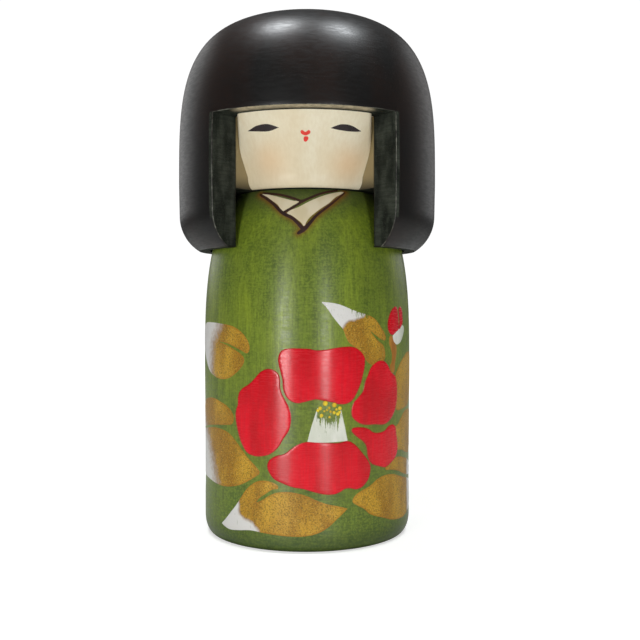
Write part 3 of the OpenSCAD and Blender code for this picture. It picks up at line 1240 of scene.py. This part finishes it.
def dry_patch(flat):
    """Where the brush ran dry on the leaf at the upper right, beside its white tip."""
    s, z = flat[:, 0], flat[:, 1]
    return (0.9 * np.clip((s - 12.5) / 6, 0, 1) * np.clip((z - 66.2) / 2.5, 0, 1)
            * np.clip((20.2 - s) / 1.5, 0, 1))


def leaf(name, outlines, tip=no_white, bare=None):
    """A leaf of one or more outlines, with the rules for its white tip and for its bare wood."""
    leaf_marks = {"tip": tip}
    if bare:
        leaf_marks["bare"] = bare
    film(name, outlines, leaf_paint, "base", thickness=0.05, marks=leaf_marks)

# %% Leaves to the left and below
leaf("leaf_upper_left", [[
    (-28.8, 59.8, 1), (-25, 59.4), (-22, 58.5), (-19.2, 57.5), (-17.3, 56.7), (-16.4, 57.4),
    (-16.2, 58.8), (-17, 60.8), (-19.5, 63.2), (-23, 64.7), (-28, 65.3), (-34, 65.6),
    (-40, 65.4), (-45, 63.9), (-48.5, 61.5, 1), (-44, 57.3), (-40, 53.7), (-36, 50.7),
    (-32, 49.3), (-28, 48.7), (-24, 49.3), (-21, 51), (-18.8, 53), (-18, 54.6),
    (-18.3, 55.7), (-19.3, 56.6), (-22, 57.9), (-25, 59.0)]],
    white_left_of([(-34.5, 40), (-34.5, 55), (-33.5, 60), (-29.5, 64.5), (-27, 70)], 7.0))
leaf("leaf_middle_left", [[
    (-45, 32.5, 1), (-42, 33.1), (-36, 34.2), (-31, 34.8), (-26, 35.3), (-23, 35.8),
    (-22.1, 37.5), (-22.8, 39.3), (-25, 41), (-28, 42), (-32, 42.8), (-36, 42.7), (-42, 41.3),
    (-47, 38), (-50, 33), (-51, 27), (-50, 22), (-47.5, 18.4, 1), (-44, 17.9), (-40, 17.9),
    (-36, 17.7), (-31, 17.2), (-26, 17.1), (-21, 18), (-18, 19.2), (-15, 20.9), (-12.9, 22.6),
    (-14, 24.2), (-17, 26.8), (-20, 29.8), (-23, 32.4), (-26, 33.7), (-31, 34.1),
    (-36, 33.6), (-42, 32.7)]],
    white_left_of([(-29, 10), (-31.5, 17.5), (-34, 23), (-37, 29), (-45, 36)], 8.0))
leaf("leaf_bottom", [[
    (-28.2, 6, 1), (-26, 7.8), (-23.5, 10.3), (-21.5, 12.4), (-19.5, 15), (-18, 17),
    (-16, 18.9), (-14, 20.1), (-11.5, 20.6), (-9, 20.2), (-7.3, 19.3), (-7.2, 18.4),
    (-9, 18), (-11, 16.7), (-13, 15.3), (-14, 14.1, 1), (-12, 15.1), (-10, 16.4), (-8, 17.3),
    (-5, 17.7), (-2, 17.4), (1, 16.6), (4, 15.2), (7, 14.1), (10, 13.4), (12.9, 12.5, 1),
    (11.5, 11.2), (9.5, 9.5), (7, 7.4), (4, 5.8), (0, 5), (-4, 4.9), (-8, 5.1), (-12, 5.4),
    (-16, 5.7), (-20, 5.2), (-24, 4.8), (-26.5, 5.3)]],
    white_left_of([(-12.5, 0), (-13.5, 6.2), (-15.5, 8), (-18.5, 9), (-20.3, 10.2), (-20.2, 13),
                   (-21.5, 17)], 1.5))

# %% Leaves to the right
leaf("leaf_upper_right", [[
    (4.6, 71.8, 1), (7, 71.6), (10, 71.1), (13, 70), (16, 68.9), (19, 68.1), (22, 66.8),
    (24.5, 64.3), (26.4, 61.8), (26.3, 60.4), (24.5, 60.6), (22.5, 61.7), (20.5, 63, 1),
    (22.3, 61.1), (24, 59.9), (25.5, 58.8), (26.2, 57), (26, 54.8), (24, 53.6), (21, 53.2),
    (19, 54.3), (18, 55.5), (15, 58.5), (13, 60), (12, 61.8), (11.2, 63.8), (10, 65.2),
    (8.3, 67.3), (7, 69.2), (5.8, 70.7)]],
    white_left_of([(9, 60), (10.4, 63), (11.8, 65.2), (12.7, 66.2), (15, 66.5), (18.3, 67.6),
                   (18.6, 75)], 1.1), dry_patch)
leaf("leaf_right_high", [[
    (31, 49.2), (34, 53), (38, 55.5), (42, 56.5), (46, 55.8), (50, 52.8), (52.8, 49.2, 1),
    (49, 45), (45, 41.8), (42, 40), (36, 39.2), (32.2, 39.2), (31.2, 41), (31.3, 45)]],
    white_left_of([(48, 60), (47, 50), (48, 40)], 1.5))
leaf("leaf_right_middle", [[
    (31.2, 34.2), (33, 35), (35, 36.6), (38, 38.4), (42, 38.8), (47, 38), (51, 35.3),
    (53, 32, 1), (49, 28), (44, 25.2), (40, 25.4), (36, 26.8), (32.6, 27.4), (31.8, 30)]])
leaf("leaf_right_low", [[
    (26.3, 22.4), (28, 23.6), (31, 25), (34, 25.2), (38, 24.3), (42, 23.3), (47, 21),
    (51, 18.3, 1), (44, 18), (38, 19.2), (33, 20.9), (29, 21.8)],
    [(14.2, 14.3), (15, 16), (17, 17.2), (20, 18.3), (23, 20), (26, 20.7), (30, 20.5),
     (34, 19.4), (38, 18.3), (44, 16.9), (50, 14.6), (54, 12, 1), (50, 9.5), (44, 7.5),
     (38, 6.3), (33, 6.4), (29, 7), (26, 8), (23, 8.9), (20, 10.1), (18, 11.8), (16, 12.9)]],
    white_left_of([(42, 30), (41, 20), (42, 0)], 1.8))

# %% [markdown]
# ## The bud
#
# To the upper right a closed bud stands on a short ochre stem: two crimson strokes with a dark line
# between them, held in a white calyx.

# %% Bud, calyx and stem
film("bud_stem", [[(28.3, 61.6), (27.9, 59.5), (28.6, 58), (29.3, 56), (29.1, 54), (28.3, 52.6),
                   (29.2, 50.6), (30.8, 50.8), (31.1, 53), (32, 56), (32.1, 58), (31.6, 59.2),
                   (30.6, 60.6), (29.6, 61.6)]],
     stem_paint, "base", thickness=0.05, grid=0.6)
film("bud_calyx", [[(29.8, 60.6), (30.0, 61.8), (32, 63), (33.5, 63.6), (35.5, 64.6), (37.1, 64.4),
                    (37.5, 63.2), (36.2, 61), (34.5, 59.5), (32.5, 58.9), (30.7, 59.4)]],
     white_paint, "base", thickness=0.08, grid=0.6)
film("bud_petals", [
    [(31.3, 70.4, 1), (29.6, 69.4), (28.1, 67.5), (27.3, 65.2), (27.6, 63.2), (28.8, 62),
     (30.2, 61.8), (32, 62.7), (33.4, 63.3), (33.65, 65.6), (33.4, 67.6), (33.0, 69.3),
     (32.4, 70.3)],
    [(33.75, 63.4), (35.5, 64.3), (36.6, 65.5), (36.6, 67.5), (36.3, 69.5), (35.2, 70.5, 1),
     (34.2, 70.2), (33.5, 69.3), (33.75, 67.6), (33.95, 65.6)]],
     petal_paint, "base", thickness=0.1, grid=0.6)

# %% [markdown]
# ## The collar
#
# Two cream bands cross under the chin. They are outlined with a hot tool, whose strokes start
# thick and lift off thin. A stroke is an outline made from its middle line and a width at each
# point.

# %% Burnt strokes
def stroke(line):
    """The outline of a stroke, from points (s, z, width)."""
    places = np.array([p[:2] for p in line], dtype=float)
    half = np.array([p[2] for p in line])[:, None] / 2
    along = np.gradient(places, axis=0)
    along /= np.linalg.norm(along, axis=1)[:, None]
    side = np.stack([-along[:, 1], along[:, 0]], axis=1)
    left, right = places + side * half, places - side * half
    start = places[0] - along[0] * half[0]
    end = places[-1] + along[-1] * half[-1]
    return [tuple(p) for p in [start, *right, end, *left[::-1]]]


collar_strokes = [
    [(-19.5, 103.8, 0.7), (-15.5, 102.3, 0.9), (-12, 100.6, 1.0), (-9.5, 98.9, 1.1), (-7.5, 97.5, 1.2),
     (-4, 95.9, 1.1), (-2, 94.3, 1.2), (-0.3, 92.6, 1.2)],
    [(-1.9, 91.4, 1.0), (0, 92.6, 1.4), (2, 94.6, 1.2), (4, 96.6, 1.0), (6.5, 98.3, 0.9),
     (10, 100.4, 0.8), (13.5, 102.4, 0.6), (17, 104.2, 0.5)],
    [(-7.3, 97.7, 0.8), (-4, 99.2, 0.9), (-1, 100.9, 1.0), (2, 102.1, 0.9), (6, 103.4, 0.8),
     (10, 104.2, 0.7), (14, 104.7, 0.6)],
    [(-18.5, 104.1, 0.6), (-12, 103.5, 0.8), (-8, 102.9, 0.8), (-4, 101.9, 0.9), (-1.5, 101.2, 0.9),
     (0.3, 101.3, 0.8)],
]
film("collar_lines", [stroke(line) for line in collar_strokes], burnt_line, "base",
     thickness=0.07, grid=0.45, soft=0.3, step=0.3)

# %% Cream bands
film("collar_over", [[
    (-6.2, 97.5), (-2, 99.4), (2, 101.2), (6, 102.6), (10, 103.6), (15, 104.4), (16.7, 104.3),
    (12, 102.3), (9, 100.4), (6, 98.8), (3.5, 97.2), (1.8, 95.9), (0.7, 94.5), (0, 93.4),
    (-1, 94.4), (-2.5, 95.5), (-4.5, 96.7)]],
    collar_paint, "base", thickness=0.04, grid=0.6)
film("collar_under", [[
    (-18.5, 103.9), (-14, 103.4), (-8.5, 102.3), (-4, 101.3), (-1.8, 100.9), (-4, 99.7),
    (-6.5, 98.2), (-7.4, 97.7), (-8.5, 98.6), (-10, 100), (-12.5, 101.3), (-15.5, 102.7)]],
    collar_paint, "base", thickness=0.03, grid=0.6)

# %% Scorch beside the burnt lines
def scorch_amount(points):
    """Strongest at the two long burnt lines, and faded to nothing two millimetres away."""
    line_points = []
    for line in collar_strokes[:2]:
        for (s1, z1, _), (s2, z2, _) in zip(line, line[1:]):
            for t in np.linspace(0, 1, 12):
                z = z1 + (z2 - z1) * t
                line_points.append((turn((s1 + (s2 - s1) * t) / drawn_r, body_radius(z), z), 0.0))
    distance = np.array(distance_to_lines(points, line_points))
    return 0.95 * np.exp(-(distance / 1.15) ** 2)


put_numbers(green_body, "scorch", scorch_amount(points_of(green_body)))
print("scorch set on the green body")

# %% [markdown]
# ## Eyes and mouth
#
# The face is painted with the fewest marks: two slim, pointed eyes looking down, and a small red
# mouth of a bow above and a drop below.

# %% Eyes and mouth
left_eye = [(-17.6, 121.05, 1), (-15.9, 121.6), (-14.6, 122.1), (-13.1, 122.4), (-11.7, 122.55),
            (-10.4, 122.5), (-9.2, 122.2), (-6.9, 121.35, 1), (-8.4, 120.9), (-9.5, 120.6),
            (-10.9, 120.45), (-12.2, 120.5), (-13.9, 120.65), (-15.6, 120.8)]
right_eye = [(7.4, 121.15, 1), (9, 121.85), (10.5, 122.35), (12, 122.45), (13.3, 122.35), (14.7, 122),
             (16, 121.5), (17.7, 120.9, 1), (15.9, 120.65), (14.5, 120.55), (12.8, 120.55),
             (11.2, 120.65), (9.9, 120.75), (8.9, 120.9)]
film("eyes", [left_eye, right_eye], eye_ink, "head", on_face, thickness=0.04, grid=0.45,
     soft=0.25, step=0.25)
mouth_bow = [(-1.0, 120.2), (-0.6, 120.6), (0, 120.35), (0.4, 120.1), (0.9, 120.3), (1.4, 120.6),
             (1.95, 120.2), (1.85, 119.65), (1.2, 119.25), (0.55, 119.05), (-0.15, 119.2),
             (-0.75, 119.55)]
mouth_drop = [(0.65, 118.95), (1.25, 118.8), (1.4, 118.35), (1.05, 117.7), (0.55, 117.4), (0, 117.6),
              (-0.15, 118.3), (0.1, 118.85)]
film("mouth", [mouth_bow, mouth_drop], lip_ink, "head", on_face, thickness=0.05, grid=0.3,
     soft=0.25, step=0.2)

# %% [markdown]
# ## The studio
#
# The doll stands on a plain white floor in front of white. One tall soft light stands to each side
# of the camera and draws an upright band of light on the lacquer. Two smaller ones hang above and
# light the crown, and two broad panels behind and above give the sides their pale rim. Floor and
# world could simply be bright, but then they would light the doll too. So each looks white where the
# camera sees it and gives the doll only a little light.

# %% The floor
floor_paint, tree, sockets = new_finish("Pale floor", specular=0.2)
floor_tone = mix_colour(tree, noise(tree, place_mm(tree), 0.01, 4.0), colour("cfcecb"),
                        colour("cac9c5"))
plug(tree, sockets, floor_tone, 0.8, noise(tree, place_mm(tree), 0.4, 4.0), 0.05)
away = wire(tree, "VectorMath", {0: place_mm(tree)}, operation="LENGTH").outputs["Value"]
seen = wire(tree, "LightPath").outputs["Is Camera Ray"]
glow = times(tree, ramp(tree, away, 40.0, 420.0, 0.6, 1.0), seen)
set_sockets(tree, sockets, {"Emission Color": (1.0, 1.0, 1.0, 1.0), "Emission Strength": glow})
floor_r = 6000.0
floor_sides = 96
floor_drop = 0.02  # keeps the floor just clear of the foot
floor_ring = [turn(2 * math.pi * k / floor_sides, floor_r, 0.0) for k in range(floor_sides)]
floor = make_piece("floor", floor_ring, [tuple(range(floor_sides))], floor_paint)
floor.location.z = cad_box[0][2] - floor_drop * MM
print("floor:", floor_r * MM, "m in radius")

# %% The lights
def panel(name, place, aim, width, height, watts, tint=(1.0, 1.0, 1.0)):
    """A soft rectangular light at a place, turned towards a point on the doll."""
    data = bpy.data.lights.new(name, "AREA")
    data.shape = "RECTANGLE"
    data.size = width * MM
    data.size_y = height * MM
    data.energy = watts
    data.color = tint
    light = bpy.data.objects.new(name, data)
    light.location = Vector(place) * MM
    light.rotation_euler = (Vector(aim) - Vector(place)).to_track_quat("-Z", "Y").to_euler()
    bpy.context.scene.collection.objects.link(light)


belly, crown, middle = (0, 0, 65), (0, -20, 150), (0, 0, 130)
cool = (0.93, 0.97, 1.0)
panel("strip_left", (-240, -580, 70), belly, 120, 170, 1.46)
panel("strip_right", (225, -590, 70), belly, 66, 170, 0.86)
panel("crown_left", (-116, -42, 584), crown, 44, 120, 2.0, cool)
panel("crown_right", (157, -56, 572), crown, 44, 120, 1.72, cool)
panel("rear_left", (-450, 420, 330), middle, 420, 420, 0.6)
panel("rear_right", (450, 420, 330), middle, 420, 420, 0.42)

# %% The world
world = bpy.data.worlds.new("Studio white")
bpy.context.scene.world = world
world.use_nodes = True
sky = world.node_tree
background = next(n for n in sky.nodes if n.type == "BACKGROUND")
background.inputs["Color"].default_value = (1.0, 1.0, 1.0, 1.0)
seen = wire(sky, "LightPath").outputs["Is Camera Ray"]
sky.links.new(ramp(sky, seen, 0.0, 1.0, 0.12, 1.05), background.inputs["Strength"])
bpy.context.scene.view_settings.view_transform = "Standard"
print("world:", world.name)

# %% [markdown]
# ## The camera
#
# The eye is close, less than twice the doll's height away, so the head looms a little over the
# body. It stands a little below the middle of the doll and looks level, which keeps the sides of
# the body upright, and a small shift of the lens, instead of a tilt, sets the doll in the frame.

# %% The camera
eye_distance = 286.8
eye_turn = math.radians(1.0)
eye_aside = 4.06
eye_height = 70.75
lens_data = bpy.data.cameras.new("camera")
lens_data.sensor_width = 36.0
lens_data.lens = 50.46
lens_data.shift_y = -0.0233
lens_data.clip_start = 0.01
camera = bpy.data.objects.new("camera", lens_data)
camera.location = Vector((eye_distance * math.sin(eye_turn) + eye_aside * math.cos(eye_turn),
                          -eye_distance * math.cos(eye_turn) + eye_aside * math.sin(eye_turn),
                          eye_height)) * MM
camera.rotation_euler = (math.pi / 2, 0.0, eye_turn)
bpy.context.scene.collection.objects.link(camera)
bpy.context.scene.camera = camera
print("camera at", [round(c, 4) for c in camera.location])

# %% Size of the CAD model
def plain_box(corners):
    """The two corners of a box as plain lists of numbers."""
    return [[float(value) for value in corner] for corner in corners]


print("CAD box", plain_box(cad_box))
